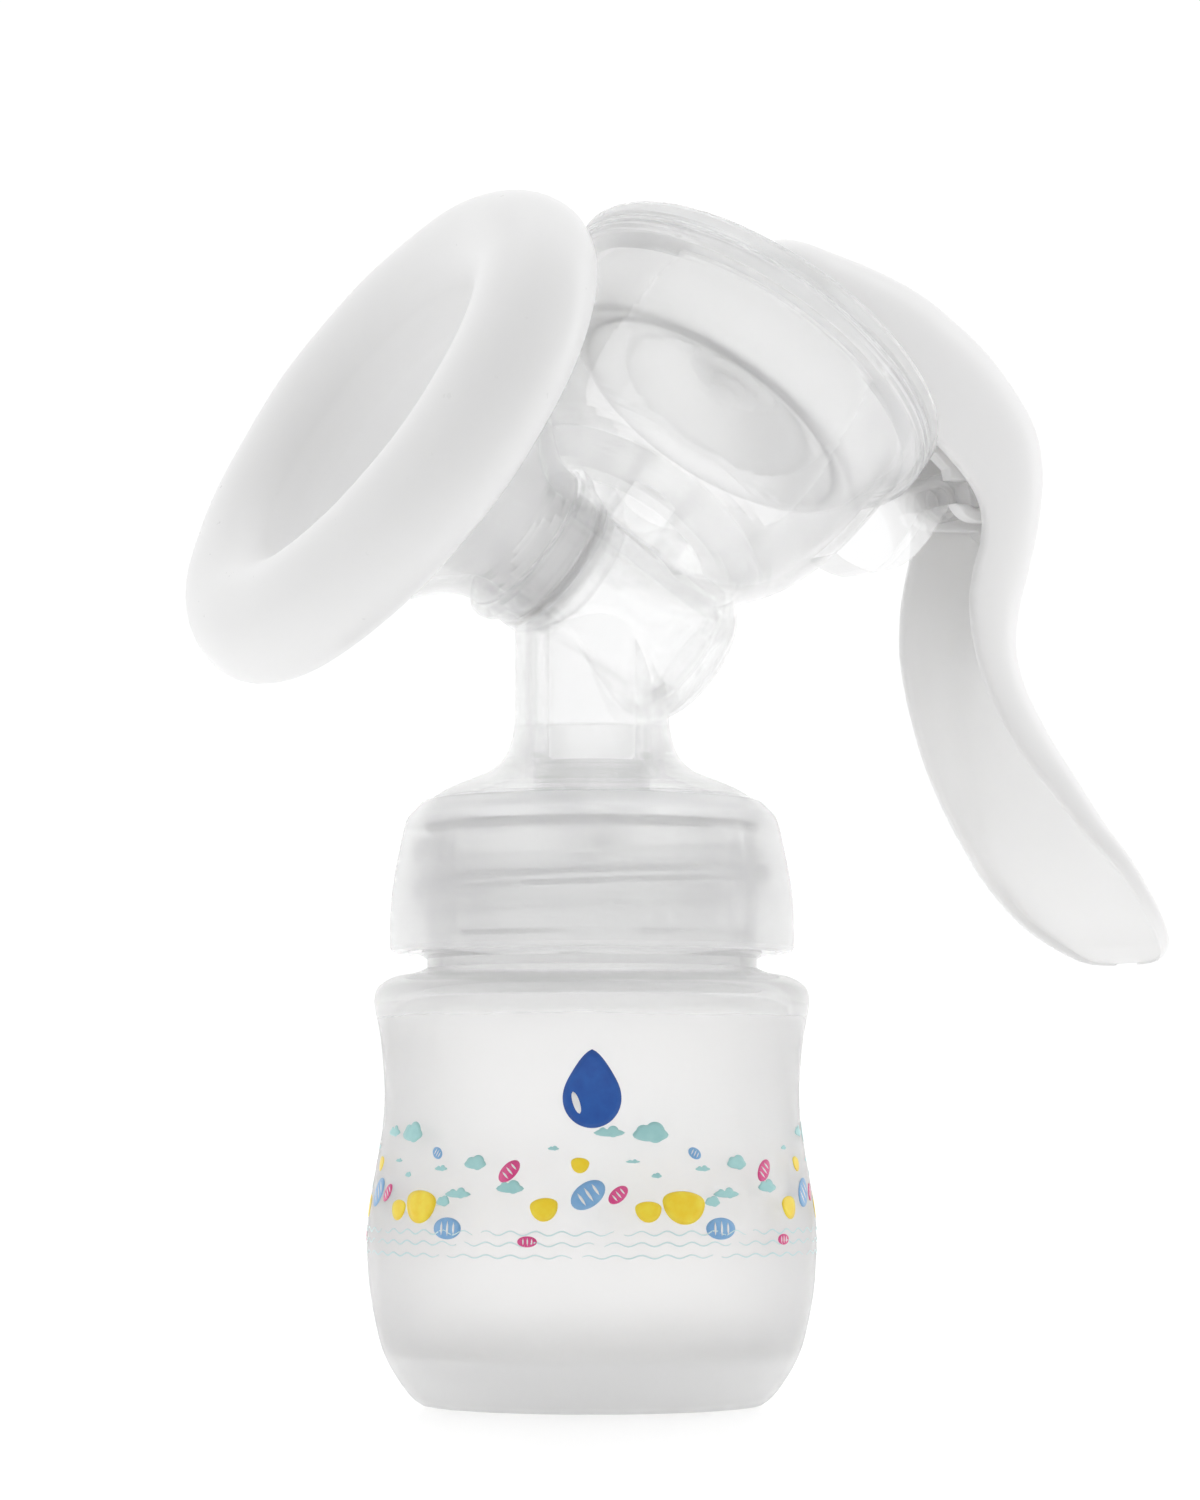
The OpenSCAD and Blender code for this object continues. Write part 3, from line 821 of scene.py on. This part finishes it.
def softbox(name, place, target, width, height, power):
    """A rectangular lamp in metres and watts that faces its target."""
    data = bpy.data.lights.new(name, "AREA")
    data.shape = "RECTANGLE"
    data.size, data.size_y = width, height
    data.energy = power
    lamp = link_new(name, data)
    lamp.location = place
    lamp.rotation_euler = (Vector(target) - Vector(place)).to_track_quat("-Z", "Y").to_euler()


def studio():
    """White all round and above, greyer on the camera's side so that round forms turn.

    Reflections and light through the clear walls see less of that grey, and the camera sees
    a plain white backdrop.
    """
    world = bpy.data.worlds.new("studio")
    world.use_nodes = True
    tree = world.node_tree

    def node(kind, **inputs):
        made = tree.nodes.new("ShaderNode" + kind)
        for key, source in inputs.items():
            if isinstance(source, bpy.types.NodeSocket):
                tree.links.new(source, made.inputs[key])
            else:
                made.inputs[key].default_value = source
        return made

    facing = tree.nodes.new("ShaderNodeVectorMath")
    facing.operation = "DOT_PRODUCT"
    tree.links.new(node("TexCoord").outputs["Generated"], facing.inputs[0])
    facing.inputs[1].default_value = TOWARDS_CAMERA
    turned = node("ValToRGB", Fac=facing.outputs["Value"])
    away_end, near_end = turned.color_ramp.elements
    away_end.position, away_end.color = 0.2, WHITE_AROUND
    near_end.position, near_end.color = 0.9, CAMERA_SIDE
    shaded = turned.outputs["Color"]
    rays = node("LightPath").outputs
    glossy = node("MixRGB", Fac=GLOSS_WHITENESS, Color1=shaded, Color2=WHITE_AROUND).outputs[0]
    lit = node("MixRGB", Fac=rays["Is Diffuse Ray"], Color1=glossy, Color2=shaded).outputs[0]
    seen = node("MixRGB", Fac=rays["Is Camera Ray"], Color1=lit, Color2=BACKDROP).outputs[0]
    tree.links.new(seen, tree.nodes["Background"].inputs["Color"])
    bpy.context.scene.world = world
    softbox("top_light", (0.1, 0.1, 0.9), (0, 0, 0.08), 0.7, 0.7, 0.6)
    softbox("left_light", (-0.85, -0.1, 0.35), (0, 0, 0.1), 0.35, 0.8, 0.2)
    softbox("right_light", (0.75, 0.0, 0.5), (0, 0, 0.1), 0.3, 0.8, 0.6)


def camera():
    data = bpy.data.cameras.new("camera")
    data.lens, data.sensor_width = LENS_MM, SENSOR_MM
    data.clip_start, data.clip_end = 0.01, 20
    eye = link_new("camera", data)
    eye.location = EYE
    eye.rotation_euler = (math.radians(90 + EYE_UP_DEGREES), 0, math.radians(EYE_TURN_DEGREES))
    bpy.context.scene.camera = eye


floor()
studio()
camera()
bpy.context.scene.view_settings.view_transform = "Standard"
# Light crosses many thin clear walls here, so every kind of bounce gets a high limit.
MOST_BOUNCES = 32
for kind in ("max", "transmission", "diffuse", "glossy", "transparent_max"):
    setattr(bpy.context.scene.cycles, f"{kind}_bounces", MOST_BOUNCES)
